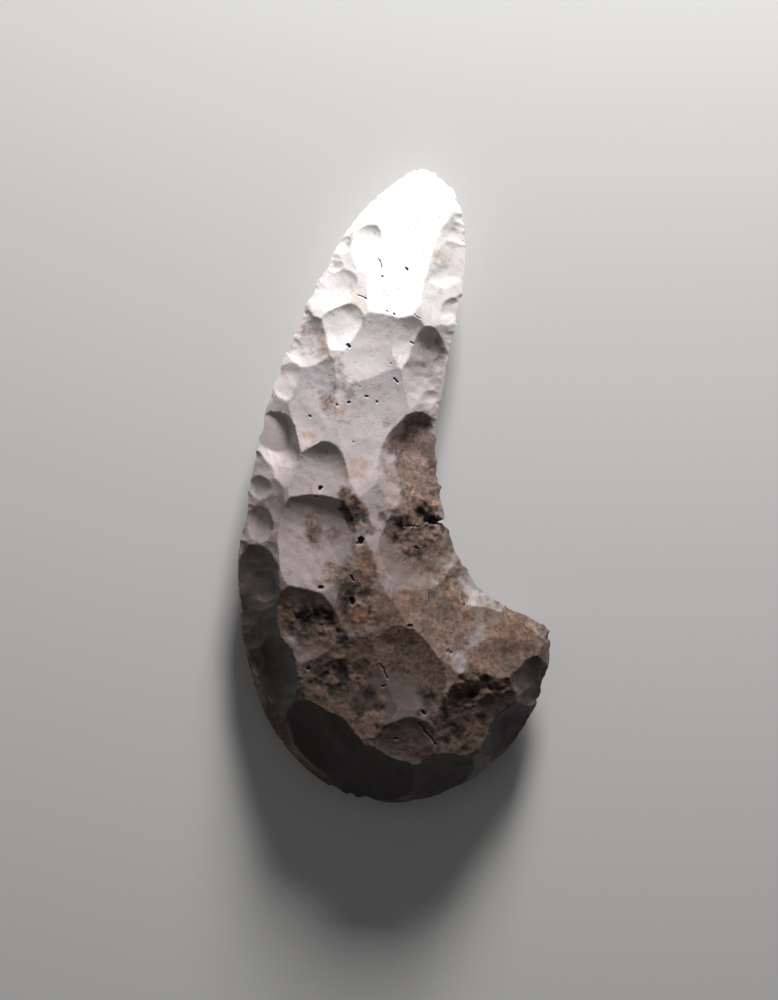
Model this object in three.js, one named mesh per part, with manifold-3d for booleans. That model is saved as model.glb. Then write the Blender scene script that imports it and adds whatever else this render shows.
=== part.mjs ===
// A flint hand axe lying on its back: +Y to the tip, +Z up, origin at the bottom centre of its bounding box.
// It is worked out in its own flat frame first: x and y in the plane of the cutting edge, z = 0 on that edge.
// Every flake scar is a shallow bowl, fitted to the surface left by the scars struck before it.

import * as THREE from "three";
import { mergeVertices } from "three/addons/utils/BufferGeometryUtils.js";
import initManifold from "manifold-3d";

// ---- sizes, mm ----

// Plan of the cutting edge, from the tip down the hollow side to the horn, and on round the butt to the tip.
const HOLLOW_EDGE = [
  [8.4, 100.6], [17.6, 93.8], [22.4, 80], [20.9, 57], [15.6, 31], [13.4, 12], [15, -6], [21, -22.6], [31.4, -35.4],
  [49.8, -44.6],
];
const ROUND_EDGE = [
  [49.8, -44.6], [48.3, -61], [40.6, -78.4], [25.2, -93.8], [2, -101.7], [-20.2, -96.7], [-38.6, -77.9],
  [-46.7, -55.2], [-49.6, -29], [-46.6, -3.9], [-41.1, 22.2], [-30.5, 51.2], [-15, 79.9], [-1.3, 95.1], [8.4, 100.6],
];
const EDGE_STEPS = 24; // points on the outline for each span of the plan

const TIP_Y = 100;
const TAPER_LENGTH = 160; // from the tip down to where the stone is full thickness
const BEVEL = 24; // width of the slope from the edge up to full height
const BEVEL_POWER = 2.2;
const FRONT = { side: 1, butt: 17.5, tip: 8.5, crown: 0 };
const BACK = { side: -1, butt: 12.5, tip: 7, crown: 2 };
const CROWN = { x: -6, y: -18, radius: 45 }; // swelling of the back under the centre of mass
const REST_DEPTH = 12.7; // the swelling is worn flat here, and the stone rests on it

const BLANK = { wide: 112, tall: 216, columns: 22, rows: 40, reach: 40 };

const BOWL_SEGMENTS = 10;
const BOWL_RINGS = [0, 0.65, 1, 1.6]; // in rim radii
const FIT_POINTS = 16;
const FIT_RADIUS = 0.85; // in rim radii
const EDGE_DROP = -0.25; // where a scar leaves the stone at the edge
const EDGE_WEIGHT = 1.6;
const DEEPEST_EDGE_CUT = -0.3; // a scar that would leave lower than this is lifted

// Flake scars of the front face: x, y, half length, half width, turn (degrees), depth, lean towards its far end.
// The order is the order they were struck in.
const EARLY_FACETS = [
  [5, 76, 30, 14, 82, 0.5, 0], [-19, 66, 16, 8, 62, 0.8, 0], [-30, 43, 14, 8, 65, 0.9, 0],
  [-36, 18, 16, 9, 78, 1, 0], [-41, -10, 18, 9, 88, 1, 0], [-43, -40, 18, 10, 95, 1.1, 0],
  [16, 66, 18, 7, 95, 0.9, 0], [12, 34, 18, 8, 78, 1, 0], [10, 4, 18, 9, 92, 1.1, 0],
  [19, -26, 12, 8, 135, 1, 0], [1, 45, 11, 7, 165, 1.1, 0], [-6.5, 38.5, 13, 9.5, 140, 1.1, 0],
  [-3, -3, 13, 11, 60, 1.1, 0], [-6, 20, 17, 13, 98, 1.6, 0], [13, -38, 18, 12.5, 155, 1.5, 0],
  [34, -53.5, 12, 8, 160, 1.3, 0], [-13, -60, 19, 15, 30, 1.2, 0], [5, -55, 13, 10.5, 120, 1.3, 0],
  [-27, -41, 12.5, 9.5, 170, 1.7, 0], [25, -70, 16, 13.5, 60, 1.9, 0], [3, -79, 10.5, 8.5, 90, 1.4, 0.1],
];
const BUTT_FACETS = [
  [-22, -79, 14, 11.5, 128, 2.3, 0], [-7, -92, 15, 12, 170, 2.3, 0], [16, -92, 14, 10.5, 20, 2.3, 0],
  [36, -78, 12.5, 8.5, 48, 2.2, 0], [43, -62, 9, 5.5, 85, 1.2, 0],
];
const BLADE_SCARS = [
  [-26, 27.5, 13.5, 9.5, 72, 1.3, 0], [-23.5, 3, 11.5, 11, 85, 2, 0.35],
  [-24.5, -16.3, 15.8, 13.8, 95, 3.3, 0.45], [7, -17.5, 13, 13, 120, 3, -0.6],
  [5, 8, 13.8, 11.5, 85, 3.7, 0.55], [11.5, 37, 13.5, 9.5, 92, 3.3, 0.5],
  [18.5, 69.5, 9.5, 6, 84, 1.5, 0.2], [19, 55.5, 5, 4.5, 90, 1.6, 0.3], [9.5, 16, 7.5, 6.5, 65, 2.4, 0.4],
  [14.5, 28, 4, 3.8, 90, 1.1, 0.3], [12.8, -12.4, 4.4, 3, 170, 2.4, 0], [38, -44.5, 9.5, 5.2, 155, 0.7, 0],
];
const EDGE_SCARS = [
  [-6, 88, 6, 5, 50, 0.7, 0], [-8.5, 75.5, 6.3, 5.6, 60, 1, 0.4],
  [-19.2, 69, 3.2, 2.8, 50, 0.9, 0], [-18, 60.8, 6.4, 5.6, 30, 1.5, 0.3],
  [-17, 50.5, 8.8, 6, 10, 1.2, 0], [-27.4, 51.5, 3.3, 3, 60, 0.8, 0], [-26, 43.8, 6.5, 6, 60, 1.8, 0.3],
  [-31.5, 42.8, 3.4, 3.2, 60, 0.9, 0], [-34.5, 33.5, 6.5, 4.6, 62, 1.1, 0],
  [-36, 14.5, 12.8, 7.2, 97, 1.2, 0.3], [-35.6, 13, 11.2, 6, 100, 5.2, 0.8],
  [-37.6, 15, 5.4, 3.4, 104, 1.7, 0.5], [-42, 0, 4.2, 4, 90, 1.4, 0], [-43, -11.5, 5.4, 4.8, 90, 1.4, 0.2],
  [-43, -29, 13.3, 7, 88, 2.4, 0.3], [-46, -48, 9, 6, 85, 1.2, 0], [-36.6, -58.3, 13, 7.2, 100, 2.6, 0.3],
  [42, -59, 6, 3.5, 100, 1, 0], [43, -66, 4.5, 3, 70, 0.8, 0],
];

// A higher power gives a flatter floor and steeper sides.
const FRONT_STRIKES = [
  { power: 2, scars: EARLY_FACETS },
  { power: 2.4, scars: BUTT_FACETS },
  { power: 2.5, scars: BLADE_SCARS },
  { power: 2.5, scars: EDGE_SCARS },
];

// Rings of scars round the back face: how many, how far in, and the mean of each size.
const BACK_RINGS = [
  { count: 15, inset: 11, long: 13.5, wide: 13, deep: 1.9 },
  { count: 26, inset: 4.5, long: 7, wide: 5.5, deep: 1.1 },
];
const BACK_POWER = 2.2;
const GOLDEN = 0.618034; // steps the sizes round a ring so that no two neighbours match
const SPREAD = 0.45; // of the mean size, from the smallest to the largest
const POINT_SCALE = 0.35; // of the mean size, for scars at the tip and at the horn
const TIP_ZONE = 75; // down from the tip, to where the scars reach full size
const HORN_ZONE = 32; // out from the horn, likewise

// ---- the outline ----

function edgePoints(plan) {
  const curve = new THREE.CatmullRomCurve3(plan.map(([x, y]) => new THREE.Vector3(x, y, 0)));
  return curve.getPoints((plan.length - 1) * EDGE_STEPS).slice(0, -1);
}

const outline = [...edgePoints(HOLLOW_EDGE), ...edgePoints(ROUND_EDGE)];

// The nearest point of the outline, and the distance to it: positive inside the stone.
function nearestEdge(x, y) {
  let best = Infinity;
  let nearest = outline[0];
  let inside = false;
  outline.forEach((a, i) => {
    const b = outline[(i + 1) % outline.length];
    const dx = b.x - a.x;
    const dy = b.y - a.y;
    const along = ((x - a.x) * dx + (y - a.y) * dy) / (dx * dx + dy * dy);
    const t = THREE.MathUtils.clamp(along, 0, 1);
    const distance = Math.hypot(x - a.x - t * dx, y - a.y - t * dy);
    if (distance < best) {
      best = distance;
      nearest = { x: a.x + t * dx, y: a.y + t * dy };
    }
    if (y < a.y !== y < b.y && x < a.x + ((y - a.y) / dy) * dx) inside = !inside;
  });
  return { distance: inside ? best : -best, x: nearest.x, y: nearest.y };
}

// ---- the two faces, as heights away from the edge plane ----

function blankHeight(face, x, y, distance) {
  const t = THREE.MathUtils.clamp((TIP_Y - y) / TAPER_LENGTH, 0, 1);
  const taper = (THREE.MathUtils.smoothstep(t, 0, 1) + t) / 2;
  const full = THREE.MathUtils.lerp(face.tip, face.butt, taper);
  const out = Math.max(0, 1 - distance / BEVEL);
  const slope = out <= 1 ? 1 - out ** BEVEL_POWER : BEVEL_POWER * (1 - out);
  const off = Math.hypot(x - CROWN.x, y - CROWN.y) / CROWN.radius;
  return full * slope + face.crown * Math.max(0, 1 - off * off);
}

// Coordinates in a scar's own frame: u along it and v across it, 1 at the rim.
function toScar(scar, x, y) {
  const dx = x - scar.x;
  const dy = y - scar.y;
  const u = (dx * scar.cos + dy * scar.sin) / scar.long;
  const v = (dy * scar.cos - dx * scar.sin) / scar.wide;
  return { dx, dy, u, v };
}

function cupDepth(scar, u, v) {
  const dished = 1 - Math.hypot(u, v) ** scar.power;
  return scar.deep * dished * (1 + scar.lean * THREE.MathUtils.clamp(u, -1, 1));
}

function scarHeight(scar, x, y) {
  const { dx, dy, u, v } = toScar(scar, x, y);
  return scar.level + scar.slopeX * dx + scar.slopeY * dy - cupDepth(scar, u, v);
}

function surfaceHeight(face, scars, x, y, distance) {
  const blank = blankHeight(face, x, y, distance);
  return scars.reduce((height, scar) => Math.min(height, scarHeight(scar, x, y)), blank);
}

// One sample for the fit: on the surface inside the rim, or just under the edge where the rim hangs outside.
function fitSample(face, scars, scar, angle) {
  const u = FIT_RADIUS * Math.cos(angle);
  const v = FIT_RADIUS * Math.sin(angle);
  let x = scar.x + u * scar.long * scar.cos - v * scar.wide * scar.sin;
  let y = scar.y + u * scar.long * scar.sin + v * scar.wide * scar.cos;
  const edge = nearestEdge(x, y);
  if (edge.distance > -EDGE_DROP) {
    const z = surfaceHeight(face, scars, x, y, edge.distance);
    return { dx: x - scar.x, dy: y - scar.y, z, weight: 1 };
  }
  x = edge.x;
  y = edge.y;
  const local = toScar(scar, x, y);
  return { dx: local.dx, dy: local.dy, z: EDGE_DROP + cupDepth(scar, local.u, local.v), weight: EDGE_WEIGHT };
}

// Least-squares plane through the samples: level and the two slopes.
function fitPlane(samples) {
  const normal = new THREE.Matrix3().set(0, 0, 0, 0, 0, 0, 0, 0, 0);
  const right = new THREE.Vector3();
  samples.forEach(({ dx, dy, z, weight }) => {
    const row = [1, dx, dy];
    const w = weight * weight;
    row.forEach((a, i) => row.forEach((b, j) => (normal.elements[i + 3 * j] += w * a * b)));
    right.add(new THREE.Vector3(...row).multiplyScalar(w * z));
  });
  return right.applyMatrix3(normal.invert());
}

function strike(face, scars, [x, y, long, wide, turn, deep, lean, power]) {
  const angle = THREE.MathUtils.degToRad(turn);
  const scar = { x, y, long, wide, deep, lean, power, cos: Math.cos(angle), sin: Math.sin(angle) };
  const samples = Array.from({ length: FIT_POINTS }, (_, i) =>
    fitSample(face, scars, scar, (i / FIT_POINTS) * 2 * Math.PI));
  const plane = fitPlane(samples);
  return [...scars, liftToEdge({ ...scar, level: plane.x, slopeX: plane.y, slopeY: plane.z })];
}

// The same scar, raised if need be so that it doesn't eat far into the outline.
function liftToEdge(scar) {
  const crossed = outline.filter(({ x, y }) => {
    const { u, v } = toScar(scar, x, y);
    return Math.hypot(u, v) < 1;
  });
  const lowest = Math.min(DEEPEST_EDGE_CUT, ...crossed.map(({ x, y }) => scarHeight(scar, x, y)));
  return { ...scar, level: scar.level + DEEPEST_EDGE_CUT - lowest };
}

// Scars get smaller towards the tip and the horn, where the stone is narrow.
function ringScale(edge) {
  const [hornX, hornY] = HOLLOW_EDGE.at(-1);
  const fromHorn = Math.hypot(edge.x - hornX, edge.y - hornY);
  const reach = Math.min((TIP_Y - edge.y) / TIP_ZONE, fromHorn / HORN_ZONE);
  return THREE.MathUtils.lerp(POINT_SCALE, 1, THREE.MathUtils.clamp(reach, 0, 1));
}

function ringOfScars({ count, inset, long, wide, deep }) {
  return Array.from({ length: count }, (_, i) => {
    const vary = (step) => 1 + SPREAD * (((i * GOLDEN * step) % 1) - 0.5);
    const at = Math.round((i / count) * outline.length);
    const edge = outline[at];
    const ahead = outline[(at + 1) % outline.length];
    const inward = new THREE.Vector3(edge.y - ahead.y, ahead.x - edge.x, 0).normalize().negate();
    const size = ringScale(edge);
    const centre = inward.clone().multiplyScalar(size * inset * vary(1)).add(edge);
    const turn = THREE.MathUtils.radToDeg(Math.atan2(inward.y, inward.x));
    const sizes = [size * long * vary(1), size * wide * vary(2), turn, size * deep * vary(3)];
    return [centre.x, centre.y, ...sizes, 0, BACK_POWER];
  });
}

// ---- solids ----

const wasm = await initManifold();
wasm.setup();

function toSolid(geometry) {
  geometry.deleteAttribute("normal");
  geometry.deleteAttribute("uv");
  const merged = mergeVertices(geometry);
  const mesh = new wasm.Mesh({
    numProp: 3,
    vertProperties: new Float32Array(merged.attributes.position.array),
    triVerts: new Uint32Array(merged.index.array),
  });
  return new wasm.Manifold(mesh);
}

function moveVertices(geometry, move) {
  const position = geometry.attributes.position;
  for (let i = 0; i < position.count; i += 1) {
    position.setXYZ(i, ...move(position.getX(i), position.getY(i), position.getZ(i)));
  }
  return geometry;
}

function turnInsideOut(geometry) {
  const index = geometry.index;
  for (let i = 0; i < index.count; i += 3) {
    const first = index.getX(i);
    index.setX(i, index.getX(i + 2));
    index.setX(i + 2, first);
  }
  return geometry;
}

// A block with one side shaped as the unflaked face and the other far beyond the stone.
function faceBlock(face) {
  const block = new THREE.BoxGeometry(BLANK.wide, BLANK.tall, 2, BLANK.columns, BLANK.rows, 1);
  return toSolid(moveVertices(block, (x, y, z) => {
    if (z * face.side < 0) return [x, y, -face.side * BLANK.reach];
    return [x, y, face.side * blankHeight(face, x, y, nearestEdge(x, y).distance)];
  }));
}

function scarCutter(face, scar) {
  const floor = BOWL_RINGS.map((radius) => new THREE.Vector2(radius, -1));
  const lid = [new THREE.Vector2(BOWL_RINGS.at(-1), 1), new THREE.Vector2(0, 1)];
  const bowl = new THREE.LatheGeometry([...floor, ...lid], BOWL_SEGMENTS);
  moveVertices(bowl, (u, level, v) => {
    const dx = u * scar.long * scar.cos - v * scar.wide * scar.sin;
    const dy = u * scar.long * scar.sin + v * scar.wide * scar.cos;
    const height = level > 0 ? BLANK.reach : scarHeight(scar, scar.x + dx, scar.y + dy);
    return [scar.x + dx, scar.y + dy, face.side * height];
  });
  return toSolid(face.side > 0 ? turnInsideOut(bowl) : bowl);
}

function cutScars(stone, face, strikes) {
  const scars = strikes.reduce((struck, sizes) => strike(face, struck, sizes), []);
  return scars.reduce((body, scar) => body.subtract(scarCutter(face, scar)), stone);
}

function underfoot() {
  const box = new THREE.BoxGeometry(BLANK.wide, BLANK.tall, BLANK.reach);
  return toSolid(box.translate(0, 0, -REST_DEPTH - BLANK.reach / 2));
}

function handAxe() {
  const blank = faceBlock(FRONT).intersect(faceBlock(BACK));
  const struck = FRONT_STRIKES.flatMap(({ power, scars }) => scars.map((scar) => [...scar, power]));
  const fronted = cutScars(blank, FRONT, struck);
  const backed = cutScars(fronted, BACK, BACK_RINGS.flatMap(ringOfScars));
  return backed.subtract(underfoot());
}

function toGeometry(solid) {
  const { vertProperties, triVerts } = solid.getMesh();
  const geometry = new THREE.BufferGeometry();
  geometry.setAttribute("position", new THREE.BufferAttribute(vertProperties, 3));
  geometry.setIndex(new THREE.BufferAttribute(triVerts, 1));
  geometry.computeBoundingBox();
  const { min, max } = geometry.boundingBox;
  return geometry.translate(-(min.x + max.x) / 2, -(min.y + max.y) / 2, -min.z);
}

const flint = new THREE.MeshStandardMaterial({ color: 0xa5969b, roughness: 0.7, metalness: 0 });
const part = new THREE.Group();
const axe = new THREE.Mesh(toGeometry(handAxe()), flint);
axe.name = "hand_axe";
part.add(axe);

export default part;
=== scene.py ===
"""The looks of the flint hand axe, lying on its back on a pale floor.

The stone is worked out in its own plan, in millimetres: x across, y up to the tip, and heights away from
the plane of the cutting edge. Scars are struck on each face in order, as in the CAD part, then finer flaking,
crust and pits are added. The two faces are triangulated to one shared edge and set down in the CAD node's
box, in metres.
"""

import math

import bpy
import numpy as np
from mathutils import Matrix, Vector
from mathutils.geometry import delaunay_2d_cdt


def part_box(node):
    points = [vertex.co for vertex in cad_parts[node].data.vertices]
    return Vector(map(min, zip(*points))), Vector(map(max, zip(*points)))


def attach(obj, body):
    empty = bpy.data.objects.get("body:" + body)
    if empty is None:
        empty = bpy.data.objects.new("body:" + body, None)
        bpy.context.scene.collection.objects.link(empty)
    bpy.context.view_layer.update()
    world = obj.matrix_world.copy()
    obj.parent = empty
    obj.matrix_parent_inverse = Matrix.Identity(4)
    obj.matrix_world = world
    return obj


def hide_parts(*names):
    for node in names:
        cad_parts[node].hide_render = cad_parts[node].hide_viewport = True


NODE = "hand_axe"
MM = 0.001

# ---- plan of the cutting edge, mm ----

# From the tip down the hollow side to the horn, and on round the butt to the tip.
HOLLOW_EDGE = [
    (8.4, 100.6), (17.6, 93.8), (22.4, 80), (20.9, 57), (15.6, 31), (13.4, 12), (15, -6), (21, -22.6),
    (31.4, -35.4), (49.8, -44.6),
]
ROUND_EDGE = [
    (49.8, -44.6), (48.3, -61), (40.6, -78.4), (25.2, -93.8), (2, -101.7), (-20.2, -96.7), (-38.6, -77.9),
    (-46.7, -55.2), (-49.6, -29), (-46.6, -3.9), (-41.1, 22.2), (-30.5, 51.2), (-15, 79.9), (-1.3, 95.1),
    (8.4, 100.6),
]
EDGE_STEPS = 24  # points on the outline for each span of the plan

# ---- the unflaked faces, mm ----

TIP_Y = 100
TAPER_LENGTH = 160  # from the tip down to where the stone is full thickness
BEVEL = 24  # width of the slope from the edge up to full height
BEVEL_POWER = 2.2
FRONT = {"side": 1, "butt": 17.5, "tip": 8.5, "crown": 0}
BACK = {"side": -1, "butt": 12.5, "tip": 7, "crown": 2}
CROWN_AT = (-6, -18)  # middle of the swelling of the back
CROWN_RADIUS = 45
REST_DEPTH = 12.7  # the back is worn flat here, and the stone rests on it

# ---- striking a scar ----

FIT_POINTS = 16
FIT_RADIUS = 0.85  # in rim radii
EDGE_DROP = -0.25  # where a scar leaves the stone at the edge
EDGE_WEIGHT = 1.6
DEEPEST_EDGE_CUT = -0.3  # a scar that would leave lower than this is lifted
REACH = 2.2  # in rim radii; a scar is left out of the surface beyond this
RIPPLE = 0.006  # height of the ripples in a scar, as a part of its depth
RIPPLES_PER_SCAR = 4.5
BLOW_AT = 1.3  # in half lengths from a scar's middle; the ripples spread from here

# Kinds of flaked surface. SURFACES says how each looks.
# The last kind is painted shade, near black, for the bevels at the butt and lower edges that face away from
# the light.
PALE, GREY, WARM, BROWN, CRUST, PAINTED_DARK_SHADE = range(6)
SAME = -1  # a scar too small to have a colour of its own

# Scars of the front, in the order they were struck: x, y, half length, half width, turn in degrees, depth,
# lean towards the far end, surface.
EARLY_FACETS = [
    (5, 76, 30, 14, 82, 0.5, 0, PALE), (-19, 66, 16, 8, 62, 0.8, 0, PALE),
    (-30, 43, 14, 8, 65, 0.9, 0, PALE), (-36, 18, 16, 9, 78, 1, 0, GREY), (-41, -10, 18, 9, 88, 1, 0, GREY),
    (-43, -40, 18, 10, 95, 1.1, 0, PAINTED_DARK_SHADE), (16, 66, 18, 7, 95, 0.9, 0, PALE), (12, 34, 18, 8, 78, 1, 0, GREY),
    (10, 4, 18, 9, 92, 1.1, 0, WARM), (19, -26, 12, 8, 135, 1, 0, GREY), (1, 45, 11, 7, 165, 1.1, 0, PALE),
    (-6.5, 38.5, 13, 9.5, 140, 1.1, 0, GREY), (-3, -3, 13, 11, 60, 1.1, 0, GREY),
    (-6, 20, 17, 13, 98, 1.6, 0, GREY), (13, -38, 18, 12.5, 155, 1.5, 0, GREY),
    (34, -53.5, 12, 8, 160, 1.3, 0, BROWN), (-13, -60, 19, 15, 30, 1.2, 0, CRUST),
    (5, -55, 13, 10.5, 120, 1.3, 0, BROWN), (-27, -41, 12.5, 9.5, 170, 1.7, 0, CRUST),
    (25, -70, 16, 13.5, 60, 1.9, 0, CRUST), (3, -79, 10.5, 8.5, 90, 1.4, 0.1, BROWN),
]
BUTT_FACETS = [
    (-22, -79, 14, 11.5, 128, 2.3, 0, PAINTED_DARK_SHADE), (-7, -92, 15, 12, 170, 2.3, 0, PAINTED_DARK_SHADE),
    (16, -92, 14, 10.5, 20, 2.3, 0, PAINTED_DARK_SHADE), (36, -78, 12.5, 8.5, 48, 2.2, 0, PAINTED_DARK_SHADE),
    (43, -62, 9, 5.5, 85, 1.2, 0, BROWN),
]
BLADE_SCARS = [
    (-26, 27.5, 13.5, 9.5, 72, 1.3, 0, GREY), (-23.5, 3, 11.5, 11, 85, 2, 0.35, GREY),
    (-24.5, -16.3, 15.8, 13.8, 95, 3.3, 0.45, GREY), (7, -17.5, 13, 13, 120, 3, -0.6, CRUST),
    (5, 8, 13.8, 11.5, 85, 3.7, 0.55, WARM), (11.5, 37, 13.5, 9.5, 92, 3.3, 0.5, WARM),
    (18.5, 69.5, 9.5, 6, 84, 1.5, 0.2, PALE), (19, 55.5, 5, 4.5, 90, 1.6, 0.3, PALE),
    (9.5, 16, 7.5, 6.5, 65, 2.4, 0.4, WARM), (14.5, 28, 4, 3.8, 90, 1.1, 0.3, WARM),
    (12.8, -12.4, 4.4, 3, 170, 2.4, 0, CRUST), (38, -44.5, 9.5, 5.2, 155, 0.7, 0, WARM),
    (40, -39, 11, 3.4, 155, 0.5, 0, PALE),
]
EDGE_SCARS = [
    (-6, 88, 6, 5, 50, 0.7, 0, PALE), (-8.5, 75.5, 6.3, 5.6, 60, 1, 0.4, PALE),
    (-15.5, 75.4, 2.6, 2.2, 50, 0.6, 0, PALE), (-19.2, 69, 3.2, 2.8, 50, 0.9, 0, PALE),
    (-18, 60.8, 6.4, 5.6, 30, 1.5, 0.3, PALE), (-25, 60.3, 2.6, 2.3, 50, 0.7, 0, PALE),
    (-17, 50.5, 8.8, 6, 10, 1.2, 0, PALE), (-27.4, 51.5, 3.3, 3, 60, 0.8, 0, PALE),
    (-26, 43.8, 6.5, 6, 60, 1.8, 0.3, GREY), (-31.5, 42.8, 3.4, 3.2, 60, 0.9, 0, PALE),
    (-34.5, 33.5, 6.5, 4.6, 62, 1.1, 0, PALE), (-36, 14.5, 12.8, 7.2, 97, 1.2, 0.3, GREY),
    (-35.6, 13, 11.2, 6, 100, 5.2, 0.8, GREY), (-37.6, 15, 5.4, 3.4, 104, 1.7, 0.5, GREY),
    (-42, 0, 4.2, 4, 90, 1.4, 0, GREY), (-43, -11.5, 5.4, 4.8, 90, 1.4, 0.2, GREY),
    (-43, -29, 13.3, 7, 88, 2.4, 0.3, PAINTED_DARK_SHADE), (-46, -48, 9, 6, 85, 1.2, 0, PAINTED_DARK_SHADE),
    (-36.6, -58.3, 13, 7.2, 100, 2.6, 0.3, PAINTED_DARK_SHADE), (42, -59, 6, 3.5, 100, 1, 0, PAINTED_DARK_SHADE),
    (43, -66, 4.5, 3, 70, 0.8, 0, PAINTED_DARK_SHADE),
]
# Each group's power: a higher one gives a flatter floor and steeper sides.
FRONT_STRIKES = [(2, EARLY_FACETS), (2.4, BUTT_FACETS), (2.5, BLADE_SCARS), (2.5, EDGE_SCARS)]
CHIP_POWER = 2.2  # for the back's rings and the small chips

# Rings of scars worked out by a loop: how many, inset, half length, half width, depth, surface.
BACK_RINGS = [(15, 11, 13.5, 13, 1.9, GREY), (26, 4.5, 7, 5.5, 1.1, GREY)]
# Small chips along the edge, placed by chance: how many, inset, half length, half width, depth.
RETOUCH = [(70, 1.6, 3.0, 2.6, 0.4), (150, 0.6, 1.3, 1.1, 0.25)]
RETOUCH_SEED = 3
CHIP_SIZES = (0.5, 1.6)  # of the mean size, from the smallest chip to the largest
CHIP_SKEW = 35  # degrees either way from straight in
GOLDEN = 0.618034  # steps the sizes round a ring so that no two neighbours match
SPREAD = 0.45  # of the mean size, from the smallest to the largest in a ring
POINT_SCALE = 0.35  # of the mean size, for scars at the tip and at the horn
TIP_ZONE = 75  # down from the tip, to where the scars reach full size
HORN_ZONE = 32  # out from the horn, likewise

# From DEEPEST_CHIP in from the outline, each face rises at no less than this slope.
THINNEST = 0.25
DEEPEST_CHIP = 1.1

# ---- finer relief, mm ----

WARP = 0.5
WARP_CELL = 8
WARP_LOW = 0.5  # how much more the rims wander towards the butt, from WARP_FADE below the middle down
WARP_FADE = 50
GRAIN = 0.05
GRAIN_CELL = 4

# Crusted patches on the front: x, y, half length, half width, turn, how far crust covers it, how rough it is.
CRUST_PATCHES = [
    (7.5, -13, 14.5, 10.5, 110, 0.95, 0.85), (6, 8, 17, 10, 80, 0.9, 0.1), (11, 1, 10, 7, 95, 0.95, 0.25),
    (-12, -6, 9, 4, 130, 0.95, 0.5), (-24, -12, 9, 7, 100, 0.4, 0.04), (-17, -26, 10, 4, 35, 0.6, 0.08),
    (-9, -25, 10, 5, 110, 0.7, 0.2), (-12, -36, 14, 7, 95, 0.95, 0.4), (10, -37, 24, 9, 155, 0.6, 0.08),
    (17, -31, 9, 4, 130, 0.75, 0.12), (36, -49, 10, 6, 150, 0.8, 0.08), (-27, -42, 14, 9, 170, 0.95, 0.8),
    (-20, -58, 18, 10, 20, 0.8, 0.45), (-10, -68, 12, 8, 150, 0.8, 0.35), (0, -52, 10, 8, 120, 0.6, 0.2),
    (23, -63, 13, 8, 20, 0.9, 0.85), (24, -74, 12, 8, 40, 0.75, 0.4), (32, -54, 12, 7, 160, 0.75, 0.1),
    (3, -80, 8, 6, 90, 0.5, 0.12), (12, 42, 8, 5, 100, 0.45, 0.03), (-18, 30, 12, 6, 80, 0.3, 0.03),
    (-28, 46, 8, 6, 60, 0.3, 0.03),
]
PATCH_RIM = 1.2  # where a patch or a stain ends, in its own radii
PATCH_RAGGED = 0.3
PATCH_CELL = 7
CRUST_FALL = 0.8  # width of a patch's rim, in its own radii
CRUST_BASE = 0.78  # thin broken crust over the lower half, from this y down and full after the fade
CRUST_FROM = -4
CRUST_FADE = 35
CRUST_BREAKS = 13
CRUST_WHOLE = 0.7  # higher leaves fewer breaks in the thin crust
CRUST_CELL = 4
CRUST_PITTING = 1.3
CRUST_PIT_CELL = 1.9
CRUST_PIT_START = 0.35  # higher leaves fewer pits in the crust

# Pits and slots on the front: x, y, radius, length, turn.
PITS = [
    (11.8, -10.6, 1.7, 2.2, -8), (-10.5, -15.2, 1.3, 0.6, 70), (-13.2, -34.3, 1.2, 0.6, 110),
    (-22.9, -29.9, 0.9, 0.2, 30), (17.2, -50.4, 0.7, 0.4, 130), (4.8, -42, 0.8, 0.5, 160),
    (-3.3, -60.9, 0.6, 0.8, 20), (9, -69.1, 0.5, 1.2, 140), (10.4, -76, 0.35, 8.6, -53),
    (3.8, -11.9, 0.25, 6, -3), (-4.4, 70.1, 0.22, 3, -68), (3.8, 68.3, 0.4, 0.8, -35),
    (-3.7, 66, 0.28, 0.5, -30), (0.2, 66.1, 0.22, 0, 0), (-10, 59.6, 0.3, 3, -24),
    (-2.4, 55.3, 0.25, 0.6, -20), (0, 54.3, 0.28, 0.7, -30), (7, 53.6, 0.2, 2, -38),
    (-14.3, 44.5, 0.55, 0.8, -30),
    (5.5, 45.4, 0.35, 0.9, -35), (-1.2, 39.3, 0.3, 0.3, 0), (0.4, 33.7, 0.5, 1.5, -38),
    (-8.8, 29.1, 0.5, 0.4, 0), (-14.1, 27.2, 0.4, 0.3, 0), (-17.8, 26.3, 0.5, 0, 0), (-5.5, 27.4, 0.4, 0, 0),
    (-26.2, 22.7, 0.4, 0.3, 0), (-12.6, 15.1, 0.3, 0, 0), (-22.7, 0.8, 0.7, 0.5, 20),
    (6.9, -19.1, 0.5, 0.9, 160), (3.2, -22.4, 0.4, 0.4, 60), (-26.5, -55.3, 0.8, 0, 0),
    (-13, -27, 0.5, 1.6, -60), (21.5, -46.2, 0.45, 0, 0), (22, -36.9, 0.4, 0.4, 130),
    (-10.8, 31.8, 0.25, 0, 0), (-24.3, -1.9, 0.35, 0.6, 10), (-3.4, -56.1, 0.3, 5, -65),
    (0.4, -77.5, 0.5, 0.4, 10),
]
PIT_DEPTH = 1.3  # in radii of the pit
PIT_RAGGED = 0.4
PIT_RAGGED_CELL = 1.3
PIT_SHADE = 2.5  # how fast the painted shade turns dark inside a pit's rim
PIT_MARGIN = 0.6  # how far past a pit its finer mesh reaches
PIT_WANDER = 0.25
PIT_WANDER_CELL = 1.8
PIT_STEP = 0.17
PIT_HIGHLIGHT_OFFSET = (-0.1, 0.45)  # from a pit's painted highlight, on its lower lip, to the pit it belongs to

# ---- mesh, mm ----

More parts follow.
